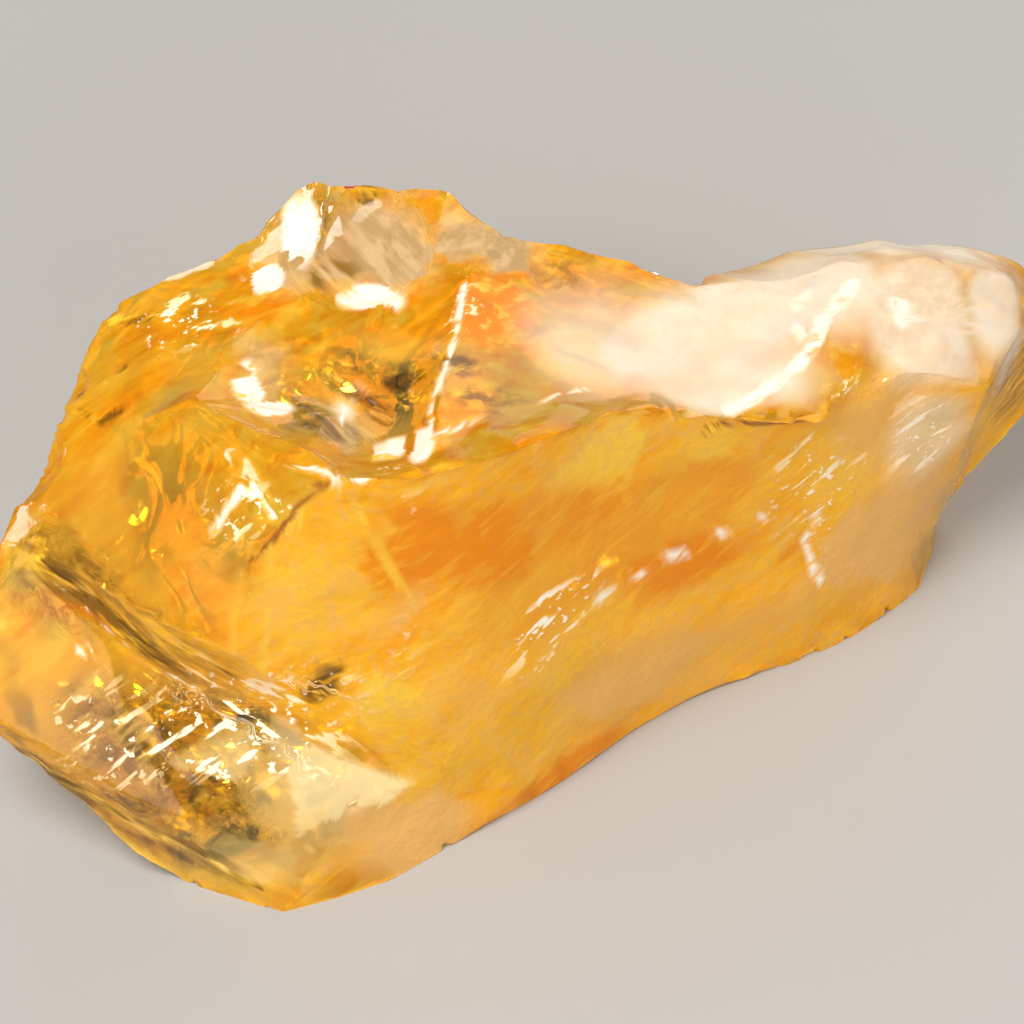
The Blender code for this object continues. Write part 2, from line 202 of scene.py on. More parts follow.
# Soft ellipsoids in mm: centre, half axes and strength. A strength above 1 gives a zone a flat
# middle and a crisper edge.
ZONES = {
    "deep": [
        ((7.6, -1.4, 16), (6.6, 5.4, 5), 2.6), ((2.5, -4.5, 17), (13, 6, 9), 0.8),
        ((9, -0.8, 11.2), (5.4, 4, 2.2), 1), ((-4.6, -6.8, 21.4), (3.6, 3, 5), 1.4),
        ((-0.6, -6, 19), (3.4, 3, 6), 1.2), ((-0.9, 5.4, 23.6), (2.4, 3.2, 2.6), 3),
        ((-5.8, 3.6, 23.5), (2.6, 1.4, 2), 0.8), ((-12, 5.8, 23.6), (3, 1.6, 2), 0.9),
        ((4, -6.6, 0.9), (7, 4, 1.6), 1.4), ((-24.6, -8.8, 9.6), (2.6, 3, 2.2), 0.9),
        ((-21, -6, 14.6), (3.4, 1.4, 1.6), 1), ((-16.4, -8, 12.4), (4.4, 1.6, 1.6), 1),
        ((-14.6, -8.6, 12.6), (3, 1.4, 1.6), 0.7), ((-19.5, -2.6, 21), (3.4, 2.4, 2.4), 0.5),
        ((13.8, 1.4, 9.2), (1.6, 1.6, 1.8), 0.6), ((16.2, 3.6, 20.6), (2.2, 3.4, 2.6), 0.5)],
    "straw": [
        ((5, -2.4, 23), (5.4, 2.4, 1.8), 1.2), ((10.4, -0.2, 20.2), (3, 2, 1.6), 0.8),
        ((-9.8, -7.8, 18), (3.4, 2.4, 5.4), 0.6), ((-7.4, -7.2, 21.4), (0.7, 1.4, 4), 1),
        ((2.6, -4, 10.4), (5, 3, 3.4), 0.5), ((1.9, -4.2, 19.4), (1.4, 1.6, 2.2), 0.5),
        ((-13.6, -7.4, 13), (5, 2, 3), 0.5), ((16, 2.4, 15), (3.6, 3, 4), 0.7),
        ((3.2, 3.4, 23), (3, 4, 2), 0.8), ((-23.8, -5.2, 16.4), (1.3, 1.3, 1.3), 3),
        ((-11.6, -6.2, 23.4), (1.8, 1.8, 1.6), 1), ((-6, -9, 11.6), (2.6, 3, 4), 1.6),
        ((-6, 1, 24), (4, 3, 2.4), 0.8), ((-14.6, -13, 1.6), (6, 2.4, 2), 0.9)],
    "milk": [
        ((8, -2, 4.4), (13, 7, 3.8), 0.9), ((19.6, 3.8, 7.5), (7, 6, 6.5), 1.3),
        ((-5, -11, 2.5), (6, 3.4, 4), 2), ((-4.8, -7.6, 16.6), (1.6, 1.8, 1.8), 1.2),
        ((-2.6, -8.4, 10), (3, 2.4, 3), 0.8), ((18.6, 3.8, 16), (4, 3, 5), 0.8),
        ((21.6, 6, 12), (4, 3, 4.4), 0.8)],
    # Cream zones: milky quartz on the saddle and cap, painted brighter as the back light's sheen
    # there.
    "cream": [
        ((9, 3.6, 21.8), (8.4, 6, 3.4), 1.5), ((20.6, 7.8, 19.2), (5.4, 5, 3.2), 1.5),
        ((13, 9, 20.4), (7, 6, 4), 2), ((4.6, 4.4, 23), (6, 6, 3), 0.75),
        ((20.6, 4.8, 13.8), (3.6, 3, 4.4), 0.6), ((25, 9.6, 17.8), (2.6, 4, 3), 1.6),
        ((19, 13, 17.6), (9.5, 3.6, 4.5), 1), ((24.8, 9.4, 15), (1.6, 3, 4), 0.9)],
    "dust": [
        ((-7.2, 9, 24.6), (3.8, 3.8, 2.8), 1.6), ((-1.6, 9.6, 24), (4.4, 1.8, 2), 1.2),
        ((-10.6, 8.4, 24.6), (2.6, 3.4, 2.4), 0.8), ((-12.2, 2, 23.8), (1.8, 2.4, 1.6), 0.8),
        ((-8, -2, 24.1), (3.4, 2.2, 1.6), 0.6), ((16, 3.2, 20), (1.8, 1.4, 1.4), 0.8),
        ((21, 8.4, 19.2), (5, 5, 3.2), 0.4)],
    "brown_and_shade": [
        ((-2.4, 1.2, 24.7), (1, 0.9, 1.6), 3), ((-1.4, -0.9, 25.2), (2.4, 1.5, 1.8), 1),
        ((-5.2, 0.9, 23.7), (1.7, 0.8, 1.6), 2), ((-8.8, -2.3, 24.1), (2.8, 0.9, 1.6), 1.6),
        ((-8.6, 7.4, 24), (2.2, 1.4, 1.6), 1), ((-7.2, 11.2, 25.9), (0.7, 0.6, 1), 2),
        ((-1.2, 9, 23.9), (2, 0.8, 1.6), 0.5), ((2, 8.4, 23), (2.2, 0.9, 1.6), 0.5),
        ((-9.2, -8.9, 12.4), (0.8, 1, 1.5), 2.4), ((-22, -5.2, 16.6), (1.8, 0.8, 0.8), 2),
        ((-18.4, -7.2, 14.2), (2.8, 0.8, 0.8), 1), ((-20.2, -9.2, 10.4), (2.4, 1.2, 1), 0.9),
        ((-18.4, -9.9, 8.8), (1.2, 1.2, 1.2), 1.6), ((25.6, 11.2, 10.4), (2.2, 3.4, 5.4), 0.8),
        ((-20, -11.4, 5.6), (4.6, 1.4, 1.4), 1.4), ((-19.4, -10, 8.4), (3, 2, 1.4), 1),
        ((-14.8, -11.2, 5.4), (2.4, 1.6, 1.1), 0.6)],
    # Painted highlights: white patches where the lights glare on the dished top, the peak's glint
    # facet, the fracture edge and the window.
    "painted_highlight": [
        ((-6.8, 5.8, 24.1), (1.9, 0.9, 1.4), 3), ((-12.8, 1.1, 23.8), (0.9, 1.6, 1.4), 3),
        ((-11.8, -0.7, 23.8), (1.4, 0.8, 1.4), 2.4), ((-8.2, -0.9, 23.9), (0.5, 1.5, 1.4), 1.6),
        ((-4.3, -4, 25.9), (0.7, 1.6, 1.2), 1.6), ((-5.8, -3.6, 24.9), (1.4, 0.9, 1.2), 1.4),
        ((19.3, 8.2, 19.7), (0.6, 1.4, 1.2), 1.6), ((-11.2, -10, 9.2), (0.9, 1.2, 1.6), 2),
        ((-10.4, 9.6, 24.9), (1.2, 2.6, 1.6), 2), ((-12.2, 7.4, 24.2), (1.6, 1.6, 1.6), 1.6),
        ((14.6, 6.6, 21.2), (0.9, 2.6, 1.2), 1.2)],
    "glass": [
        ((-17, -4, 19), (8, 6, 6), 0.38), ((-7, 0, 24), (7, 4.6, 3), 0.85),
        ((20.5, 4.8, 13.8), (3, 3, 3.6), 0.5), ((-10, 9.4, 25), (3, 4, 2.4), 0.8)],
    "window": [
        ((-17, -10.5, 6.6), (13.5, 6, 8), 1.4)],
    "veil": [
        ((-8.6, -10.8, 6.6), (5.4, 3, 4.8), 1), ((-13.6, -10.6, 8.6), (2.6, 2, 1.6), 0.7),
        ((-12.6, -13, 3), (4.6, 2, 2), 0.4)],
    "ribbed": [
        ((-9, -0.8, 24), (4.6, 3.4, 2.6), 2), ((-7.6, 8.8, 24.6), (4.6, 4.2, 3), 2)],
    # Painted glints: white flecks that stand for the light glinting off small cracks.
    "spark": [
        ((-19, -9.6, 9), (5, 4, 4), 0.9), ((3, -4.4, 13.2), (3.6, 3, 2.8), 1.2),
        ((-4.8, -8, 14.4), (2.4, 2, 3.4), 0.9), ((14.6, 2, 14.4), (3.6, 2, 4), 0.8),
        ((-13, -5.6, 22.6), (2.6, 2, 2.4), 1), ((-14, -9.6, 9.4), (8, 4, 5), 0.9),
        ((-5.4, -5, 25), (2.4, 1.6, 1.6), 1), ((-15.6, 4.6, 23.2), (4, 2, 1.6), 0.9),
        ((-2.6, 5.4, 24), (0.9, 3, 1.6), 0.8), ((16.4, 3.2, 19.8), (2, 1.6, 1.6), 1),
        ((20, 4.8, 14), (3, 2, 3.6), 0.7)],
}


# Lines on the surface in mm: width, then corners. White ones are splintered edges, seams are the
# traces of cracks, bevels are bands of drawn-out breaks, stains hold iron, and dark ones are glassy
# slivers with painted dark reflections.
LINES = {
    "white": [
        (0.2, [(4.3, -3.8, 11.9), (7.5, -1.7, 12.6), (9.8, -0.5, 12.5), (11.1, 0.2, 13),
               (12.5, 0.8, 12.9)]),
        (0.4, [(10.6, 0.6, 22.3), (11.6, 1.2, 22), (13.2, 2.8, 21.7), (14.8, 4.6, 21.5),
               (15.6, 7.2, 21.2), (17, 9.2, 20.7)]),
        (0.28, [(-14.3, -6, 21.3), (-12.9, -5.1, 23.7)]),
        (0.2, [(-12.4, -5.1, 24), (-11.4, -6.3, 22.9)]),
        (0.16, [(-10.6, -5.2, 25.4), (-9.2, -5.6, 26), (-8.2, -6.4, 26.2), (-6.4, -6.6, 26.4)]),
        (0.12, [(-3.8, -3.8, 26), (0.6, -1.3, 25.1), (3.6, 0.5, 24)]),
        (0.2, [(-2.2, 7.2, 23.9), (-2.4, 5.5, 24.1), (-2.6, 3.6, 24.5), (-3.2, 0.8, 25),
               (-3.7, -1.4, 25.3), (-3.9, -3.7, 26)]),
        (0.28, [(15.5, 2.2, 10.9), (14.7, 1.6, 9.2), (15.6, 1.8, 5.8)]),
        (0.16, [(-21.2, -7, 12.6), (-19.4, -7.4, 12.4), (-18, -7.9, 12)]),
        (0.1, [(-22.7, -4.9, 16.2), (-20.6, -6, 14.4), (-18.2, -7.5, 12.4), (-15.2, -8.7, 11.4)])],
    "seam": [
        (0.32, [(-7.4, -6.6, 24.6), (-6.6, -7, 22.2), (-5.6, -7.4, 19.6), (-4.7, -7.7, 17.6)]),
        (0.28, [(-13.1, -7.3, 19.8), (-13.5, -8.9, 15.1), (-14, -10.4, 8.1)]),
        (0.28, [(-11.5, -6.8, 21.6), (-12, -8.9, 14.3), (-12.6, -10.3, 8.5)])],
    "bevel": [
        (2.4, [(-22.8, -5, 16.8), (-16.6, -7.9, 14), (-10.2, -9.6, 10.2), (-5, -10.3, 5.6)]),
        (1.3, [(-24, -10.4, 8), (-17.9, -12, 3.6), (-11, -14, 0.7)])],
    "stain": [
        (0.22, [(9.1, -0.4, 21.4), (9.8, -0.1, 21.9), (10.9, 0.1, 21.9), (12, 0.6, 21),
                (13.3, 1.2, 20.4), (14.8, 1.6, 20)]),
        (0.2, [(-7.9, -6.4, 26.1), (-9.1, -6.2, 25.5), (-10.4, -6.4, 23.5), (-11.4, -6.8, 21.8),
               (-12.6, -7.2, 20.4)])],
    "dark": [
        (1, [(-19.2, -9.2, 9.8), (-18.6, -9.6, 9.2), (-18, -10.2, 8.2)]),
        (0.7, [(-8.4, -8.6, 13.2), (-9.8, -9.2, 11.8)]),
        (0.26, [(-21.1, 1.4, 21.1), (-20, 0.2, 21.8), (-18.9, 0.4, 22.5)]),
        (0.22, [(-21.2, 2.4, 20.8), (-19.9, 2.6, 21.7), (-18.7, 3, 22.5)]),
        (0.34, [(-19.4, 6.1, 22.1), (-18.5, 5.8, 22.5), (-17.7, 5.6, 22.8)]),
        (0.4, [(-22.9, -4.8, 17), (-21.9, -5.3, 16.5), (-20.8, -6, 15.6)]),
        (0.15, [(-20.6, -5.9, 15.9), (-19, -6.9, 14.9), (-17.4, -7.7, 14.4)]),
        (0.15, [(-19.8, -6.9, 14.2), (-18, -7.6, 13.2), (-15.6, -8.5, 12.4)]),
        (0.14, [(-17, -7.9, 14.6), (-14.4, -8.7, 13.6), (-12, -9.1, 12)]),
        (0.3, [(-23.6, -10.4, 8.4), (-21.6, -11.1, 6.6), (-19.4, -11.7, 4.9),
               (-17.2, -12.2, 3.4)]),
        (0.18, [(-16.6, -12.3, 3.4), (-14.6, -12.8, 2.2), (-12.4, -13.6, 1.1)])],
}


# The lines' widths swell about a middle share of what the table says, every so many mm, down to
# the thinnest. A line is at full strength within the first of its edge's widths, and gone past
# the second.
SWELL_MIDDLE, SWELL, SWELL_LENGTH, THINNEST = 0.85, 0.6, 1.1, 0.15
LINE_EDGE = (0.5, 1.3)


def near_line(points, name):
    """How close each point is to the lines of that kind: 1 on a line, 0 past its edge. The width
    swells and shrinks along the line with noise, so that it breaks up."""
    swell = SWELL_MIDDLE + SWELL * layered_noise(points, SWELL_LENGTH, 2, 11.0)
    swell = np.maximum(swell, THINNEST)
    share = np.zeros(len(points))
    for width, line in LINES[name]:
        far, _ = nearest(points, along(line))
        share = np.maximum(share, 1 - step_up(far / (width * swell), *LINE_EDGE))
    return share


def zone(points, name):
    """How much of that zone there is at each point, from 0 to 1."""
    shares = [share * spot(points, centre, reach) for centre, reach, share in ZONES[name]]
    return np.minimum(np.max(shares, axis=0), 1)


# ---------- materials

def add_node(tree, kind, settings=None, links=None):
    """A new node of that kind. Settings are its attributes or its inputs' values, and links go
    from its inputs to the sockets that feed them."""
    node = tree.nodes.new(kind)
    for key, value in (settings or {}).items():
        if isinstance(key, str) and hasattr(node, key):
            setattr(node, key, value)
        else:
            node.inputs[key].default_value = value
    for key, source in (links or {}).items():
        tree.links.new(source, node.inputs[key])
    return node


SHARES = ("deep", "straw", "glass", "veil", "milk", "cream", "gritty", "dust", "brown_and_shade", "dark",
          "stain", "white", "painted_highlight", "spark", "frost", "under", "dark_below", "streaky", "clear")

# Sizes in mm: the threads across, the frosted skin's grit and its height, the underside's patches
# of painted dark reflection, and the wisps and islands that the cracks break into.
THREAD = 0.7143
GRIT, GRIT_HEIGHT = 0.5556, 0.08
DARK_PATCH = 3.846
WISP, ISLAND = 1.25, 1.613

# Quartz's index, its glare, the colour that the stone lets through and its density per metre
QUARTZ_IOR = 1.544
GLARE = 0.1
CLEAR_YELLOW, YELLOW_DENSITY = (0.998, 0.965, 0.30, 1.0), 320.0
# Roughness of a glassy break and of a frosted one
GLASSY, FROSTED = 0.03, 0.48

# The skin's colours over its orange heart, from the lowest up: the tint and the share that it
# covers, and then, for one that a pattern breaks up, the pattern and its values where the tint
# starts and where it is full.
TINTS = (
    ("deep", "streaky", "threads", 0.50, 0.34),
    ("straw", "straw"),
    ("straw", "streaky", "threads", 0.52, 0.66),
    ("glow", "glass"),
    ("pale", "veil"),
    ("beige", "milk"),
    ("cream", "cream"),
    ("beige", "gritty", "grit", 0.48, 0.64),
    ("dust", "dust"),
    ("brown_and_shade", "brown_and_shade", "threads", 0.62, 0.42),
    ("dark_reflection", "dark", "threads", 0.62, 0.46),
    ("rust", "stain"),
    ("splinter_and_highlight", "white", "threads", 0.36, 0.48),
    ("splinter_and_highlight", "painted_highlight", "threads", 0.66, 0.54),
)
# Painted glints stand where the threads or the grit go from the first value to the second.
THREAD_GLINTS, GRIT_GLINTS = (0.575, 0.61), (0.62, 0.66)
# Values of that noise between which the underside's painted dark reflection starts and is full
DARK_PATCH_EDGE = (0.52, 0.59)


def citrine_material(colours):
    """Citrine: iron-bearing quartz, broken by hand. Fresh conchoidal breaks are glassy and clear,
    the older ones are finely frosted, and clouds of tiny fluid bubbles make some zones milky."""
    material = bpy.data.materials.new("citrine")
    material.use_nodes = True
    tree = material.node_tree
    tree.nodes.clear()
    share = {name: add_node(tree, "ShaderNodeAttribute", {"attribute_name": name}).outputs["Fac"]
             for name in SHARES}

    # threads, drawn out along the growth by the "drawn" attribute, grit and stains
    drawn = add_node(tree, "ShaderNodeAttribute", {"attribute_name": "drawn"}).outputs["Vector"]
    place = add_node(tree, "ShaderNodeTexCoord").outputs["Object"]
    patterns = {
        name: add_node(
            tree, "ShaderNodeTexNoise",
            {"Scale": 1 / (size * MM), "Detail": detail, "Roughness": roughness},
            {"Vector": vector}).outputs["Fac"]
        for name, size, detail, roughness, vector in (
            ("threads", THREAD, 2.5, 0.6, drawn), ("grit", GRIT, 2.0, 0.6, place),
            ("dark_patches", DARK_PATCH, 2.0, 0.5, place))}

    layers = []
    for tint, name, *broken in TINTS:
        cover = share[name]
        if broken:
            pattern, low, high = broken
            cover = add_node(
                tree, "ShaderNodeMapRange", {"From Min": low, "From Max": high},
                {"Value": patterns[pattern], "To Max": cover}).outputs["Result"]
        layers.append((tint, cover))

    # painted glints, as white flecks that also let no light through
    glints = [
        add_node(
            tree, "ShaderNodeMapRange", {"From Min": low, "From Max": high},
            {"Value": patterns[pattern], "To Max": share["spark"]}).outputs["Result"]
        for pattern, (low, high) in (("threads", THREAD_GLINTS), ("grit", GRIT_GLINTS))]
    spark = add_node(
        tree, "ShaderNodeMath", {"operation": "MAXIMUM"}, {0: glints[0], 1: glints[1]}).outputs[0]

    # light inside meets every skin as pale, and on the underside some patches as painted dark
    # reflection
    inside = add_node(tree, "ShaderNodeNewGeometry").outputs["Backfacing"]
    dark_below = add_node(
        tree, "ShaderNodeMapRange", {"From Min": DARK_PATCH_EDGE[0], "From Max": DARK_PATCH_EDGE[1]},
        {"Value": patterns["dark_patches"], "To Max": share["dark_below"]}).outputs["Result"]
    below = add_node(
        tree, "ShaderNodeMath", {"operation": "MULTIPLY"}, {0: inside, 1: dark_below}).outputs[0]
    layers += [("splinter_and_highlight", spark), ("pale", inside), ("dark_reflection", below)]
    colour = add_node(
        tree, "ShaderNodeMix",
        {"data_type": "RGBA", 6: linear(colours.honey), 7: linear(colours.deep)},
        {0: share["deep"]}).outputs[2]
    for tint, cover in layers:
        colour = add_node(
            tree, "ShaderNodeMix", {"data_type": "RGBA", 7: linear(getattr(colours, tint))},
            {0: cover, 6: colour}).outputs[2]

    # light inside leaves through any skin but the underside, so that the clouded ones glow as
    # thin milky quartz does
    entering = add_node(
        tree, "ShaderNodeMath", {"operation": "SUBTRACT", "use_clamp": True},
        {0: share["clear"], 1: spark}).outputs[0]
    leaving = add_node(
        tree, "ShaderNodeMath", {"operation": "SUBTRACT", "use_clamp": True},
        {0: inside, 1: share["under"]}).outputs[0]
    passing = add_node(
        tree, "ShaderNodeMath", {"operation": "MAXIMUM"}, {0: entering, 1: leaving}).outputs[0]

    rough = add_node(
        tree, "ShaderNodeMapRange", {"To Min": GLASSY, "To Max": FROSTED},
        {"Value": share["frost"]}).outputs["Result"]
    bump = add_node(
        tree, "ShaderNodeBump", {"Distance": GRIT_HEIGHT * MM},
        {"Height": patterns["grit"], "Strength": share["frost"]}).outputs["Normal"]
    shader = add_node(
        tree, "ShaderNodeBsdfPrincipled", {"IOR": QUARTZ_IOR, "Specular IOR Level": GLARE},
        {"Base Color": colour, "Transmission Weight": passing, "Roughness": rough, "Normal": bump})
    absorb = add_node(
        tree, "ShaderNodeVolumeAbsorption", {"Color": CLEAR_YELLOW, "Density": YELLOW_DENSITY})
    add_node(
        tree, "ShaderNodeOutputMaterial", {},
        {"Surface": shader.outputs[0], "Volume": absorb.outputs[0]})
    return material


# ---------- the stone's surface

MERGE = 0.001
QUAD_BEND, QUAD_SKEW = math.radians(25), math.radians(60)
RIDGE_CREASE = 0.85
SUBDIVISIONS = 2
# Nicks stand along bends a little softer than the ridges.
NICKED_BEND = 0.8
SHADING_BEND = math.radians(35)


def smooth_stone(sizes):
    """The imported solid's mesh, merged, turned back to quads and subdivided, with its ridges kept
    sharp. Returns a mesh in metres."""
    bm = bmesh.new()
    bm.from_mesh(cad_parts[NODE].data)
    bmesh.ops.remove_doubles(bm, verts=bm.verts, dist=MERGE * MM)
    bmesh.ops.join_triangles(
        bm, faces=bm.faces, angle_face_threshold=QUAD_BEND, angle_shape_threshold=QUAD_SKEW)
    crease = bm.edges.layers.float.new("crease_edge")
    for edge in bm.edges:
        if edge.is_manifold and edge.calc_face_angle() > sizes.ridge_angle:
            edge[crease] = RIDGE_CREASE
    mesh = bpy.data.meshes.new("stone_cage")
    bm.to_mesh(mesh)
    bm.free()
    cage = bpy.data.objects.new("stone_cage", mesh)
    bpy.context.scene.collection.objects.link(cage)
    smooth = cage.modifiers.new("smooth", "SUBSURF")
    smooth.levels = smooth.render_levels = SUBDIVISIONS
    depsgraph = bpy.context.evaluated_depsgraph_get()
    fine = bpy.data.meshes.new_from_object(cage.evaluated_get(depsgraph))
    bpy.data.objects.remove(cage, do_unlink=True)
    bpy.data.meshes.remove(mesh)
    return fine


def read_points(mesh):
    """Vertex positions in mm and unit normals."""
    co = np.zeros(len(mesh.vertices) * 3, np.float32)
    mesh.vertices.foreach_get("co", co)
    normal = np.zeros(len(mesh.vertices) * 3, np.float32)
    mesh.vertices.foreach_get("normal", normal)
    return co.reshape(-1, 3).astype(float) / MM, normal.reshape(-1, 3).astype(float)


def ridge_points(mesh, angle):
    """The middles of the mesh's edges that bend more than an angle, in mm."""
    bm = bmesh.new()
    bm.from_mesh(mesh)
    middles = [(e.verts[0].co + e.verts[1].co) / 2 for e in bm.edges
               if e.is_manifold and e.calc_face_angle() > angle]
    bm.free()
    return np.array(middles) / MM


STRIKES_TRIED = 2400
STRIKES_APART = 0.8


def scallops(points, spacing, seed):
    """Knapped bowls: each point belongs to its nearest strike, and lies on a shallow parabola
    about it, so neighbouring bowls meet in ridges. From 0 at a strike to 1 one spacing away."""
    draw = np.random.RandomState(seed)
    strikes = points[draw.choice(len(points), STRIKES_TRIED, replace=False)]
    kept = []
    for strike in strikes:
        if all(np.linalg.norm(strike - other) > spacing * STRIKES_APART for other in kept):
            kept.append(strike)
    far, _ = nearest(points, np.array(kept))
    return (far / spacing) ** 2


def growth_cells(points, count, seed):
    """Growth cells: every point belongs to its nearest seed. Returns each point's seed and a
    random share from 0 to 1 that its whole cell has."""
    draw = np.random.RandomState(seed)
    seeds = points[draw.choice(len(points), count, replace=False)]
    _, which = nearest(points, seeds)
    return seeds[which], draw.uniform(0, 1, count)[which]


# Which way the threads run: over most of the stone, on the dished breaks, and along the bevel
# and the rim below it.
STREAK_WAY, RIB_WAY, BEVEL_WAY = (0.80, 0.35, 0.50), (0.63, -0.77, 0.10), (0.81, -0.24, -0.54)
DRAWN_OUT = 5
WAY_CHANGES = (0.2, 0.6)


def drawn_out(points, way):
    """Points with their distances along one way shrunk to a fifth, so that any noise read there
    is drawn out that way."""
    way = np.array(way) / np.linalg.norm(way)
    return points - (1 - 1 / DRAWN_OUT) * (points @ way)[:, None] * way


def threaded(points, ribbed, bevel):
    """Points drawn out along the streaks' way, or the ribs' and the bevel's where those shares
    are high."""
    drawn = drawn_out(points, STREAK_WAY)
    for share, way in ((ribbed, RIB_WAY), (bevel, BEVEL_WAY)):
        drawn += step_up(share, *WAY_CHANGES)[:, None] * (drawn_out(points, way) - drawn)
    return drawn


def put_share(mesh, name, values):
    """A float attribute on the mesh's vertices, from 0 to 1."""
    attribute = mesh.attributes.new(name, "FLOAT", "POINT")
    attribute.data.foreach_set("value", np.clip(values, 0, 1).astype(np.float32))


FAN_MIDDLE, FAN_REACH = (-8.4, -0.9, 24.0), (4.4, 2.8, 2.4)
FAN_ACROSS = (0.77, 0.63, 0.0)
FAN_RIB = 0.8


def fan_ribs(points):
    """Ribs of a fast break, from -1 to 1: noise of one coordinate, the distance across the fan,
    so that each rib runs straight, faded out by a soft ellipsoid."""
    across = (points @ FAN_ACROSS)[:, None] * (1, 0, 0)
    return layered_noise(across, FAN_RIB, 2, 21.0) * spot(points, FAN_MIDDLE, FAN_REACH)


RIM_STRIKE = (-22.9, 0.2, 19.4)
RING_HEIGHT, RING_WIDTH = 0.06, 0.45
RINGS_FADE = (1.2, 2.2)


def rim_ripples(points):
    """Rings round the blow that chipped the rim: a sine of the distance, dying out with it."""
    far = np.linalg.norm(points - RIM_STRIKE, axis=1)
    return RING_HEIGHT * np.sin(far * math.tau / RING_WIDTH) * (1 - step_up(far, *RINGS_FADE))


# The glassy window's corner and the ways into it from its two straight edges, as x and z, with
# how far its edge wavers and the distances over which it starts.
WINDOW_CORNER = (-5.0, 5.6)
WINDOW_WAYS_IN = ((-0.587, -0.811), (-0.704, 0.710))
WINDOW_WAVER, WINDOW_WAVER_LENGTH = 0.3, 1.6
WINDOW_EDGE = (-0.15, 0.25)


def in_window(points):
    """1 in the glassy window at the foot and 0 outside it: a soft step of the distance to the
    nearer of its two straight edges, which meet in a corner, as seen from the front."""
    inside = np.min((points[:, [0, 2]] - WINDOW_CORNER) @ np.transpose(WINDOW_WAYS_IN), axis=1)
    waver = WINDOW_WAVER * layered_noise(points, WINDOW_WAVER_LENGTH, 2, 63.0)
    return step_up(inside + waver, *WINDOW_EDGE)


# Parts of a normal between which a point comes to face the front, upwards too far for that, the
# top, away and down
TO_FRONT, OFF_FRONT, TO_TOP = (0.45, 0.7), (0.25, 0.4), (0.6, 0.85)
AWAY, DOWN = (0.1, 0.5), (0.2, 0.6)
# How glassy the window is, and how frosted the top is where the front is fully so
WINDOW_GLASS, TOP_FROST = 0.97, 0.25


def first_shares(points, warped, normals):
    """What is known of each point before the surface moves, from 0 to 1: its side, by smooth
    steps of its normal, and how far it is in the window, glassy, frosted or splintered. The fan's
    ribs go from -1 to 1."""
    _, y, z = normals.T
    share = {
        "front": step_up(-y, *TO_FRONT) * (1 - step_up(z, *OFF_FRONT)),
        "top": step_up(z, *TO_TOP),
        "hidden": np.maximum(step_up(y, *AWAY), step_up(-z, *AWAY)),
        "under": step_up(-z, *DOWN),
        "window": in_window(points),
        "white": near_line(points, "white"),
        "ribs": fan_ribs(points),
    }
    share["glass"] = np.maximum(
        zone(warped, "glass"), WINDOW_GLASS * zone(points, "window") * share["window"])
    frost = np.clip(share["front"] + TOP_FROST * share["top"], 0, 1)
    share["frost"] = frost * (1 - share["glass"])
    return share


# Finer forms, in mm: knapped bowls, as spacing and depth; the fan's ribs; nicks along the ridges,
# with the noise's values at their edge; and the splintered lines.
HIDDEN_BOWLS, SEEN_BOWLS = (3.6, 0.55), (2.4, 0.10)
RIB_HEIGHT = 0.2
NICK_LENGTH, NICK_REACH, NICK_EDGE = 1.3, 0.35, (0.05, 0.5)
SPLINTER_LENGTH, SPLINTER_DEPTH = 0.5, 0.10
# A glassy break keeps this share of the frosted skin's dimples.
GLASSY_DIMPLES = 0.25
# Heights in mm between which the finer forms start, so that the stone rests on a flat foot
FOOT = (0.1, 1.2)


def surface_lift(points, ridge, share, sizes):
    """How far each point moves out along its normal, in mm: dimples of the skin, knapped bowls,
    the fan's ribs and the rim's rings, less the nicks and the splintered lines."""
    dimples = layered_noise(points, sizes.skin_length / MM, 3, 3.0) * (sizes.skin_height / MM)
    lift = dimples * (GLASSY_DIMPLES + (1 - GLASSY_DIMPLES) * share["frost"])
    for (spacing, depth), seed, part in (
            (HIDDEN_BOWLS, 5, share["hidden"]), (SEEN_BOWLS, 8, 1 - share["hidden"])):
        lift += depth * scallops(points, spacing, seed) * part
    lift += RIB_HEIGHT * share["ribs"] + rim_ripples(points)
    nicks = step_up(layered_noise(points, NICK_LENGTH, 3, 77.0), *NICK_EDGE)
    lift -= (sizes.nick_depth / MM) * nicks * np.exp(-(ridge / NICK_REACH) ** 2)
    splinters = 0.5 + lattice_noise(points, SPLINTER_LENGTH, 5.0)
    lift -= SPLINTER_DEPTH * share["white"] * splinters
    return lift * step_up(points[:, 2], *FOOT)


# How far and over what length the zones' edges wander, in mm, and how much they then run along
# the growth cells
WANDER, WANDER_LENGTH = 1.2, 5.0
BLOCKY, PARTLY_BLOCKY = 0.6, 0.3
PATCHES, CELLS = 260, 1100
STREAK_LENGTH, VEIN_LENGTH = 1.7, 3.4
# Distances in mm: to the left, where the bevel gets painted dark reflection, and to the right,
# where the lobe starts
BEVEL_DARKENS, LOBE = (9.0, 17.0), (16.0, 19.0)
# Strengths, elsewhere and on the front, of the straw and the deep streaks and of the threads
STRAW_STREAKS, DEEP_STREAKS, THREADS_SEEN = (0.7, 0.2), (0.6, 0.2), (0.75, 0.40)
# Strengths of what else adds to a skin, or takes from it
VEINS, SEAMS, STRAW_PATCHES, TOP_MILK, DARK_LINES = 0.4, 0.8, 0.3, 0.3, 0.85
DARK_BEVEL, BROWN_BEVEL, BROWN_DUST, GRITTY, DARK_BELOW_SHARE = 0.5, 0.8, 0.45, 0.4, 0.8
THREADS_CLOUDED = 0.5
# The cream share is milky quartz with a painted sheen of the light from behind.
CREAM, CREAM_STREAKS, MOST_STREAK = 0.92, 0.3, 0.2
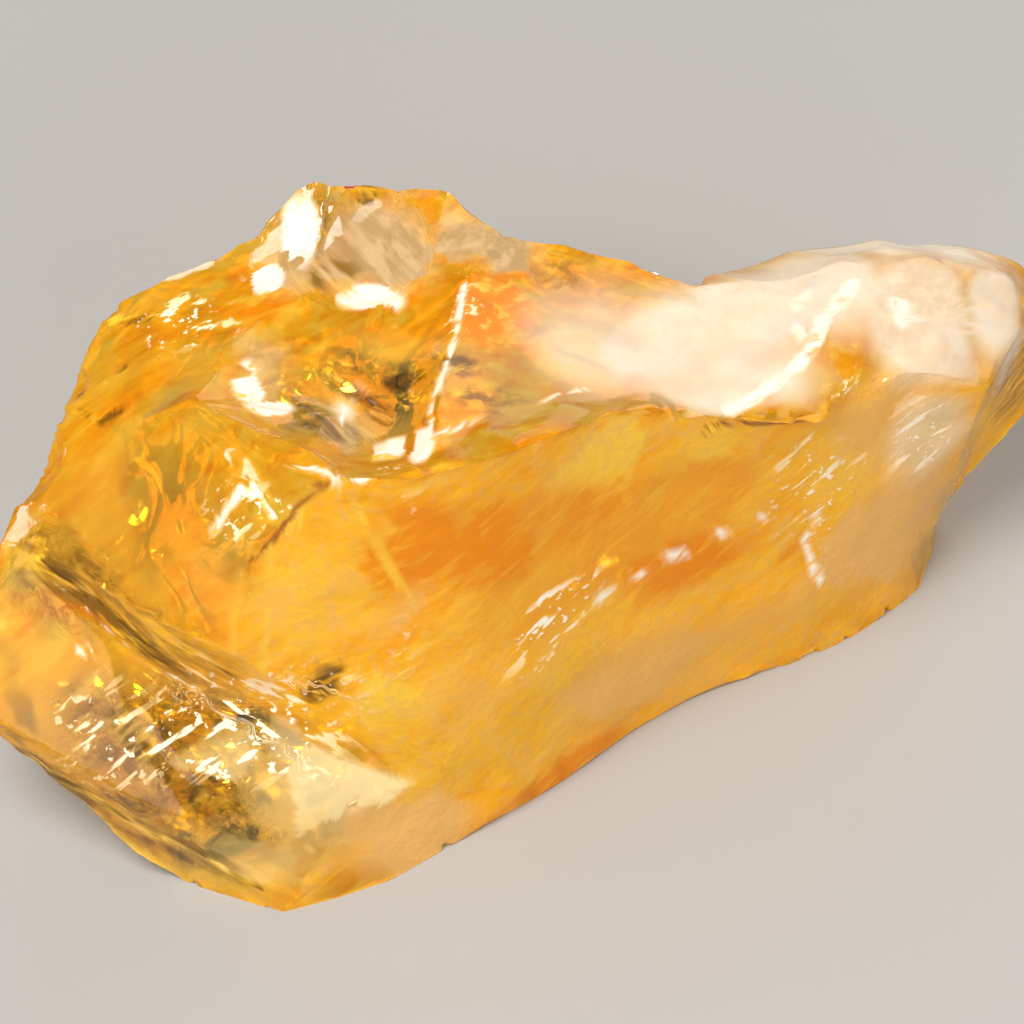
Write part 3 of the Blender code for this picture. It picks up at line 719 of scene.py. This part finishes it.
# Values of the noises, ribs and cells between which what they call for goes from none to full
STREAK_EDGE, BEVEL_DARK_EDGE, PATCH_EDGE, VEIN_EDGE = (0.1, 0.5), (0.1, 0.3), (0.6, 0.9), (0.02, 0.09)
# The fan's ribs get a painted highlight in their troughs and painted shade in brown on their
# crests; the painted highlight zones show only in growth cells whose random share passes the last
# pair.
RIB_SHADE, RIB_HIGHLIGHT, HIGHLIGHT_CELLS = (0.12, 0.3), (0.2, 0.4), (0.15, 0.25)
# How much light the frosted front, the other skins and the glassy breaks let through, and how
# far other skins cloud or cover them
CLEAR_FRONT, CLEAR_ELSEWHERE, CLEAR_GLASS = 0.22, 0.50, 0.96
CLOUDS = {"milk": 0.6, "cream": 0.6, "veil": 0.65}
DEEP_TOP_CLOUD = 0.5
COVERS = {"white": 1.0, "stain": 1.0, "painted_highlight": 1.0, "dark": 0.7, "dust": 0.6}


def add_skins(share, points, warped):
    """Adds the share of each skin at each point: its zone's, or what a streak, vein, line, rib or
    cell calls for where that is more. Returns the points drawn out along the threads."""
    front, top, ribs = share["front"], share["top"], share["ribs"]
    # the bevel's left end, painted darker with dark reflection
    bevel = near_line(points, "bevel")
    bevel_darkening = bevel * step_up(-points[:, 0], *BEVEL_DARKENS)
    drawn = threaded(points, zone(points, "ribbed"), bevel)
    streak = layered_noise(drawn, STREAK_LENGTH, 4, 13.0)
    vein = 1 - step_up(np.abs(layered_noise(warped, VEIN_LENGTH, 2, 91.0)), *VEIN_EDGE)
    _, patch = growth_cells(warped, PATCHES, 41)
    middle, tone = growth_cells(warped, CELLS, 42)
    blocky = warped + BLOCKY * (middle - warped)
    near = points + PARTLY_BLOCKY * (blocky - points)
    heart = zone(near, "deep")
    lobe = step_up(points[:, 0], *LOBE)

    # where the painted glints are
    share["spark"] = zone(blocky, "spark")
    share["veil"] = zone(blocky, "veil") * share["window"]
    share["dust"] = zone(blocky, "dust") * top
    share["milk"] = np.maximum(
        zone(blocky, "milk") * np.interp(top, (0, 1), (1, TOP_MILK)),
        VEINS * vein * front * (1 - heart))
    # milky saddle and cap, with a painted sheen of the light from behind
    share["cream"] = (zone(warped, "cream") * np.maximum(top, lobe)
                      * (CREAM + CREAM_STREAKS * np.minimum(streak, MOST_STREAK)))
    # painted highlights: the listed zones, broken up by the growth cells, and the troughs of the
    # fan's ribs
    share["painted_highlight"] = (zone(near, "painted_highlight") * step_up(tone, *HIGHLIGHT_CELLS)
                      + step_up(-ribs, *RIB_HIGHLIGHT))
    # brown patches and dust, plus painted dark reflection at the bevel's left end and painted shade
    # on the crests of the fan's ribs
    share["brown_and_shade"] = np.max([
        zone(near, "brown_and_shade"), BROWN_BEVEL * bevel_darkening, BROWN_DUST * share["dust"],
        step_up(ribs, *RIB_SHADE)], axis=0)
    streaks = np.interp(front, (0, 1), STRAW_STREAKS) * step_up(streak, *STREAK_EDGE)
    share["straw"] = np.max([
        zone(blocky, "straw"), SEAMS * near_line(points, "seam"),
        streaks + STRAW_PATCHES * step_up(patch, *PATCH_EDGE)], axis=0)
    streaks = np.interp(front, (0, 1), DEEP_STREAKS) * step_up(-streak, *STREAK_EDGE)
    share["deep"] = np.maximum(heart, streaks)
    share["streaky"] = (np.interp(front, (0, 1), THREADS_SEEN)
                        - THREADS_CLOUDED * np.maximum(share["cream"], share["milk"]))
    # painted dark reflections: the dark slivers, and streaks at the bevel's left end
    share["dark"] = np.maximum(
        DARK_LINES * near_line(points, "dark"),
        DARK_BEVEL * bevel_darkening * step_up(streak, *BEVEL_DARK_EDGE))
    share["stain"] = near_line(points, "stain")
    # the underside's inner face, in patches of painted dark reflection
    share["dark_below"] = DARK_BELOW_SHARE * share["under"]
    share["frost"] = np.maximum(share["frost"], share["white"])
    share["gritty"] = GRITTY * np.clip(share["frost"] - share["deep"], 0, 1)

    dull = np.interp(front, (0, 1), (CLEAR_ELSEWHERE, CLEAR_FRONT))
    clear = dull + (CLEAR_GLASS - dull) * share["glass"]
    clouds = [weight * share[name] for name, weight in CLOUDS.items()]
    clouded = np.max([*clouds, DEEP_TOP_CLOUD * share["deep"] * top], axis=0)
    covered = np.max([weight * share[name] for name, weight in COVERS.items()], axis=0)
    share["clear"] = clear * (1 - clouded) * (1 - share["under"]) - covered
    return drawn


def stone_surface(sizes, colours):
    """The stone as it is seen: its fine mesh, moved out along its normals by the surface's lift,
    with the share of each skin at each vertex."""
    mesh = smooth_stone(sizes)
    points, normals = read_points(mesh)
    ridge, _ = nearest(points, ridge_points(mesh, sizes.ridge_angle * NICKED_BEND))
    warped = points + WANDER * np.stack(
        [layered_noise(points, WANDER_LENGTH, 3, shift) for shift in (0.0, 31.0, 57.0)], axis=1)
    share = first_shares(points, warped, normals)
    points = points + normals * surface_lift(points, ridge, share, sizes)[:, None]
    points[:, 2] = np.maximum(points[:, 2], 0.0)
    mesh.vertices.foreach_set("co", (points * MM).astype(np.float32).ravel())
    drawn = add_skins(share, points, warped)
    for name in SHARES:
        put_share(mesh, name, share[name])
    attribute = mesh.attributes.new("drawn", "FLOAT_VECTOR", "POINT")
    attribute.data.foreach_set("vector", (drawn * MM).astype(np.float32).ravel())

    mesh.shade_smooth()
    mesh.set_sharp_from_angle(angle=SHADING_BEND)
    mesh.materials.append(citrine_material(colours))
    stone = bpy.data.objects.new("stone_surface", mesh)
    bpy.context.scene.collection.objects.link(stone)
    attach(stone, BODY)
    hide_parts(NODE)


# ---------- cracks inside the stone

# Rings and spokes of a crack's grid. The small ones, whose reach is under so many mm, are
# scattered in hundreds, so theirs is coarse.
LARGE_GRID, SMALL_GRID = (9, 36), (3, 12)
SMALL_CRACK = 1.4
# A crack's first ring and its ripples' height, as shares of its reach, and the radians that the
# ripples turn by on their way out
FIRST_RING = 0.02
RIPPLE_HEIGHT, RIPPLES = 0.03, 11
RIM_RAGGED = (0.04, 0.22)
# A way that no crack faces
ASIDE = (0.31, 0.87, 0.39)


def crack_grid(centre, facing, reach, bend, seed):
    """One crack in mm: a leaf of rings and spokes. Its edge radius is 1 plus seven sines of the
    angle, and it rises along its own axis by a parabola of the radius and by ripples that run
    out from its middle. Returns its points, its quads and how far out each point is."""
    draw = np.random.RandomState(seed)
    rings, spokes = SMALL_GRID if reach[0] < SMALL_CRACK else LARGE_GRID
    facing = np.array(facing, float) / np.linalg.norm(facing)
    side = np.cross(facing, ASIDE)
    side /= np.linalg.norm(side)
    other = np.cross(facing, side)
    turn = draw.uniform(0, math.tau)
    long_way = math.cos(turn) * side + math.sin(turn) * other
    short_way = np.cross(facing, long_way)
    angle = np.linspace(0, math.tau, spokes, endpoint=False)
    ragged = np.ones(spokes)
    for k in range(2, 9):
        height = draw.uniform(*RIM_RAGGED) / (k - 1)
        ragged += height * np.sin(k * angle + draw.uniform(0, math.tau))
    radius = np.linspace(FIRST_RING, 1, rings)
    r = radius[:, None] * ragged[None, :]
    rise = bend * r ** 2 + RIPPLE_HEIGHT * reach[0] * np.sin(r * RIPPLES + turn)
    points = (np.array(centre) + (r * np.cos(angle) * reach[0])[..., None] * long_way
              + (r * np.sin(angle) * reach[1])[..., None] * short_way + rise[..., None] * facing)
    row = np.arange(spokes)
    turned = (row + 1) % spokes
    quads = [np.stack([row + i * spokes, row + (i + 1) * spokes,
                       turned + (i + 1) * spokes, turned + i * spokes], axis=1)
             for i in range(rings - 1)]
    return points.reshape(-1, 3), np.concatenate(quads), np.repeat(radius, spokes)


def solid_tree():
    """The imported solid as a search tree, in mm."""
    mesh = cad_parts[NODE].data
    points, _ = read_points(mesh)
    return BVHTree.FromPolygons(points.tolist(), [tuple(face.vertices) for face in mesh.polygons])


# A crack stays this far below the surface, in mm, and is made smaller by these steps to fit.
COVER = 0.35
SMALLER = (1.0, 0.8, 0.6, 0.45, 0.3)


def inside_stone(tree, points):
    """True if every point is inside the solid and well below its surface."""
    for point in points:
        place, normal, _, far = tree.find_nearest(Vector(point))
        if far < COVER or (Vector(point) - place).dot(normal) > 0:
            return False
    return True


def fitted_crack(tree, centre, facing, reach, bend, seed):
    """The crack's grid, made smaller until every other point of its rim lies inside the stone,
    or None."""
    for share in SMALLER:
        size = (reach[0] * share, reach[1] * share)
        points, quads, out = crack_grid(centre, facing, size, bend * share, seed)
        if inside_stone(tree, points[out == 1][::2]):
            return points, quads, out
    return None


def crack_piece(name, cracks, material):
    """All the cracks of one kind as one object that rides with the stone."""
    tree = solid_tree()
    points, quads, out, count = [], [], [], 0
    for crack in cracks:
        grid = fitted_crack(tree, *crack)
        if grid is None:
            continue
        points.append(grid[0])
        quads.append(grid[1] + count)
        out.append(grid[2])
        count += len(grid[0])
    mesh = bpy.data.meshes.new(name)
    mesh.from_pydata(np.concatenate(points) * MM, [], np.concatenate(quads).tolist())
    put_share(mesh, "out", np.concatenate(out))
    mesh.shade_smooth()
    mesh.materials.append(material)
    piece = bpy.data.objects.new(name, mesh)
    bpy.context.scene.collection.objects.link(piece)
    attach(piece, BODY)


# Small cracks lie near level, facing this way with so much scatter. Their lengths, widths and
# bends are shares of the largest reach and of the length.
NEAR_LEVEL, TILT = (0.0, -0.27, 0.96), 0.25
LENGTHS, WIDTHS, BENDS = (0.4, 1.0), (0.3, 0.8), (-0.15, 0.15)


def sprinkle(middle, spread, count, size, seed):
    """Small cracks scattered in a soft ellipsoid, the largest of them with the given reach."""
    draw = np.random.RandomState(seed)
    cracks = []
    for i in range(count):
        centre = np.array(middle) + draw.normal(0, 0.5, 3) * spread
        facing = np.array(NEAR_LEVEL) + draw.normal(0, TILT, 3)
        length = size * draw.uniform(*LENGTHS)
        cracks.append((centre, facing, (length, length * draw.uniform(*WIDTHS)),
                       length * draw.uniform(*BENDS), seed * 100 + i))
    return cracks


# Cracks in mm: middle, facing, half axes, bend and seed.
OPEN_CRACKS = [
    ((-18.5, -6, 7), (0.1, -0.3, 0.95), (3.4, 2.2), 0.5, 1),
    ((-15, -7.5, 4.6), (-0.1, -0.2, 0.97), (3.2, 2), -0.4, 2),
    ((-12, -8, 5.6), (0.2, -0.35, 0.92), (2.4, 1.6), 0.4, 3),
    ((-13.5, -5.5, 8.6), (0.05, -0.15, 0.98), (2.8, 1.8), -0.5, 4),
    ((-10.4, -9.6, 2.6), (0.1, -0.3, 0.95), (2.4, 1.4), 0.3, 5),
    ((-17, -4.5, 10.5), (-0.2, -0.3, 0.93), (2.6, 1.6), 0.5, 6),
    ((-10, 3, 19), (0.1, -0.1, 0.99), (3.4, 2.2), -0.6, 10),
    ((-3, 2, 19.5), (0.2, 0.1, 0.97), (3, 2), 0.5, 11),
]
HEALED_CRACKS = [
    ((8, 1.5, 12.5), (0.1, 0.35, 0.93), (7, 3), 0.5, 21),
    ((-5, -4.2, 20), (0.9, -0.2, 0.2), (4.5, 2.4), 0.4, 22),
    ((-4.4, -5, 16), (0.3, -0.9, 0.2), (2.4, 1.8), 0.3, 23),
    ((16, 5.5, 11), (0.6, -0.7, 0.3), (4.5, 3.2), -0.5, 24),
    ((10, 5, 17), (0.1, 0.2, 0.97), (7, 2.8), 0.6, 25),
    ((19, 8.2, 14.5), (0.3, -0.2, 0.93), (3.4, 2.2), 0.4, 26),
    ((-17.5, -8, 4.8), (0.1, -0.55, 0.83), (4.6, 2.6), 0.4, 41),
    ((-12.5, -9.2, 3.6), (0, -0.6, 0.8), (3.8, 2.6), -0.4, 42),
    ((-20, -8, 7.6), (0.2, -0.5, 0.85), (3, 2), 0.3, 43),
    ((-13, -7.6, 7.4), (-0.2, -0.5, 0.85), (4.2, 2.4), 0.5, 44),
    ((-8.6, -8.8, 6.2), (0.3, -0.7, 0.6), (2.8, 2.6), 0.3, 45),
    ((-21.5, -9.2, 6.6), (-0.1, -0.8, 0.6), (2, 1.6), 0.2, 46),
    ((-15, -10.4, 3.6), (-0.1, -0.85, 0.5), (3.4, 1.6), 0.2, 47),
    ((-10.6, -11.2, 3.4), (0.1, -0.85, 0.5), (2.4, 1.6), 0.2, 48),
]
# Clouds of small open cracks in mm: middle, spread, how many, largest reach and seed, under the
# window, the front, the bevel, the cheek, the left tip, the dished top and the lobe.
CLOUDS_OF_CRACKS = [
    ((-15, -8.6, 7), (9, 3.6, 5.6), 220, 1.39, 31),
    ((3, -2.6, 13.4), (4.2, 1.6, 2.2), 24, 0.9, 32),
    ((-18.6, -6, 13), (3.4, 1.4, 2), 26, 0.9, 33),
    ((-19, -3.4, 17), (6, 3, 4.4), 40, 0.9, 36),
    ((-22.4, -6.6, 11), (3.4, 2.4, 4), 30, 0.9, 37),
    ((-7, 1, 21), (4, 4, 1.6), 20, 1.2, 34),
    ((14.5, 4, 15), (5, 1.8, 3), 16, 0.7, 35),
]


# How much a crack's densest parts hide, and the share of its radius past which it fades out
MOST_COVER = 0.85
RIM_FADE = 0.55


def crack_material(name, tint, pattern, edge, metallic, roughness):
    """A film inside the stone, broken into islands where a noise passes the edge's values."""
    material = bpy.data.materials.new(name)
    material.use_nodes = True
    tree = material.node_tree
    shader = tree.nodes["Principled BSDF"]
    out = add_node(tree, "ShaderNodeAttribute", {"attribute_name": "out"}).outputs["Fac"]
    fade = add_node(
        tree, "ShaderNodeMapRange",
        {"From Min": 1.0, "From Max": RIM_FADE, "To Max": MOST_COVER}, {"Value": out})
    place = add_node(tree, "ShaderNodeTexCoord").outputs["Object"]
    noise = add_node(tree, "ShaderNodeTexNoise", pattern, {"Vector": place})
    cover = add_node(
        tree, "ShaderNodeMapRange", {"From Min": edge[0], "From Max": edge[1]},
        {"Value": noise.outputs["Fac"], "To Max": fade.outputs["Result"]})
    shader.inputs["Base Color"].default_value = linear(tint)
    shader.inputs["Metallic"].default_value = metallic
    shader.inputs["Roughness"].default_value = roughness
    tree.links.new(cover.outputs["Result"], shader.inputs["Alpha"])
    return material


def inner_cracks(colours):
    """The open and the healed cracks."""
    # Open cracks: a film of air in quartz mirrors light by total reflection, so it flashes like
    # metal leaf.
    film = crack_material(
        "open_crack_film", colours.film,
        {"Scale": 1 / (ISLAND * MM), "Detail": 3.0, "Roughness": 0.55, "Distortion": 0.6},
        edge=(0.44, 0.54), metallic=1.0, roughness=0.12)
    small = [crack for cloud in CLOUDS_OF_CRACKS for crack in sprinkle(*cloud)]
    crack_piece("open_cracks", OPEN_CRACKS + small, film)
    # Healed cracks: planes of tiny fluid bubbles in quartz, which scatter light as a thin veil.
    veil = crack_material(
        "healed_crack_veil", colours.healed,
        {"Scale": 1 / (WISP * MM), "Detail": 4.0, "Roughness": 0.65, "Distortion": 0.3},
        edge=(0.42, 0.60), metallic=0.0, roughness=0.6)
    crack_piece("healed_cracks", HEALED_CRACKS, veil)


# ---------- stage

# Where the camera looks, its distance and the width that it sees there, in mm
TARGET = (0.10, 2.36, 11.0)
CAMERA_DISTANCE = 400.0
CAMERA_ELEVATION = math.radians(55)
SEEN_WIDTH = 51.2
SENSOR = 36.0
NEAR_END = 10.0

FLOOR_HALF = 600.0
FLOOR_COLOUR, FLOOR_ROUGHNESS = "#B2AFAA", 0.6
ROOM_COLOUR, ROOM_STRENGTH = "#F2F1EE", 0.22
# Round lights: name, place and diameter in mm, and watts
LIGHTS = (
    ("key_light", (-90, -80, 260), 130, 0.75),
    ("back_light", (150, 250, 120), 380, 0.6),
    ("front_light", (150, -260, 130), 420, 0.75),
)


def stage():
    """A pale floor of matt painted board, soft studio lights and the camera."""
    scene = bpy.context.scene
    bm = bmesh.new()
    bmesh.ops.create_grid(bm, x_segments=1, y_segments=1, size=FLOOR_HALF * MM)
    mesh = bpy.data.meshes.new("floor")
    bm.to_mesh(mesh)
    bm.free()
    floor = bpy.data.objects.new("floor", mesh)
    scene.collection.objects.link(floor)
    material = bpy.data.materials.new("matt_painted_board")
    material.use_nodes = True
    shader = material.node_tree.nodes["Principled BSDF"]
    shader.inputs["Base Color"].default_value = linear(FLOOR_COLOUR)
    shader.inputs["Roughness"].default_value = FLOOR_ROUGHNESS
    mesh.materials.append(material)

    world = bpy.data.worlds.new("studio")
    scene.world = world
    world.use_nodes = True
    background = world.node_tree.nodes["Background"]
    background.inputs["Color"].default_value = linear(ROOM_COLOUR)
    background.inputs["Strength"].default_value = ROOM_STRENGTH
    for name, place, size, watts in LIGHTS:
        light = bpy.data.lights.new(name, "AREA")
        light.shape = "DISK"
        light.size = size * MM
        light.energy = watts
        lamp = bpy.data.objects.new(name, light)
        lamp.location = Vector(place) * MM
        aim = Vector(TARGET) - Vector(place)
        lamp.rotation_euler = aim.to_track_quat("-Z", "Y").to_euler()
        scene.collection.objects.link(lamp)

    camera = bpy.data.objects.new("camera", bpy.data.cameras.new("camera"))
    back = Vector((0, -math.cos(CAMERA_ELEVATION), math.sin(CAMERA_ELEVATION)))
    camera.location = (Vector(TARGET) + back * CAMERA_DISTANCE) * MM
    camera.rotation_euler = (-back).to_track_quat("-Z", "Y").to_euler()
    camera.data.sensor_width = SENSOR
    camera.data.lens = SENSOR * CAMERA_DISTANCE / SEEN_WIDTH
    camera.data.clip_start = NEAR_END * MM
    scene.collection.objects.link(camera)
    scene.camera = camera
    scene.view_settings.view_transform = "Standard"
    scene.cycles.use_light_tree = False


# ---------- operators and panel

class CITRINE_OT_surface(bpy.types.Operator):
    """Make the stone's surface"""

    bl_idname = "citrine.surface"
    bl_label = "Stone surface"

    def execute(self, context):
        stone_surface(context.scene.citrine_sizes, context.scene.citrine_colours)
        return {"FINISHED"}


class CITRINE_OT_cracks(bpy.types.Operator):
    """Make the open and healed cracks inside the stone"""

    bl_idname = "citrine.cracks"
    bl_label = "Inner cracks"

    def execute(self, context):
        inner_cracks(context.scene.citrine_colours)
        return {"FINISHED"}


class CITRINE_OT_stage(bpy.types.Operator):
    """Make the floor, lights and camera"""

    bl_idname = "citrine.stage"
    bl_label = "Studio"

    def execute(self, context):
        stage()
        return {"FINISHED"}


class CITRINE_PT_panel(bpy.types.Panel):
    """Lists what makes up the dressed stone"""

    bl_idname = "CITRINE_PT_panel"
    bl_label = "Rough citrine crystal"
    bl_space_type = "VIEW_3D"
    bl_region_type = "UI"
    bl_category = "Citrine"

    def draw(self, context):
        for group in (context.scene.citrine_sizes, context.scene.citrine_colours):
            box = self.layout.box()
            for name in group.__annotations__:
                box.prop(group, name)
        for operator in OPERATORS:
            self.layout.operator(operator.bl_idname)


OPERATORS = (CITRINE_OT_surface, CITRINE_OT_cracks, CITRINE_OT_stage)
CLASSES = (CitrineSizes, CitrineColours, *OPERATORS, CITRINE_PT_panel)


def register():
    """Registers the classes and hangs the two groups on the scene."""
    for cls in CLASSES:
        bpy.utils.register_class(cls)
    bpy.types.Scene.citrine_sizes = bpy.props.PointerProperty(type=CitrineSizes)
    bpy.types.Scene.citrine_colours = bpy.props.PointerProperty(type=CitrineColours)


def unregister():
    """Undoes register."""
    del bpy.types.Scene.citrine_sizes
    del bpy.types.Scene.citrine_colours
    for cls in reversed(CLASSES):
        bpy.utils.unregister_class(cls)


def main():
    """Makes the stone and its stage."""
    register()
    bpy.ops.citrine.surface()
    bpy.ops.citrine.cracks()
    bpy.ops.citrine.stage()


if __name__ == "__main__":
    main()
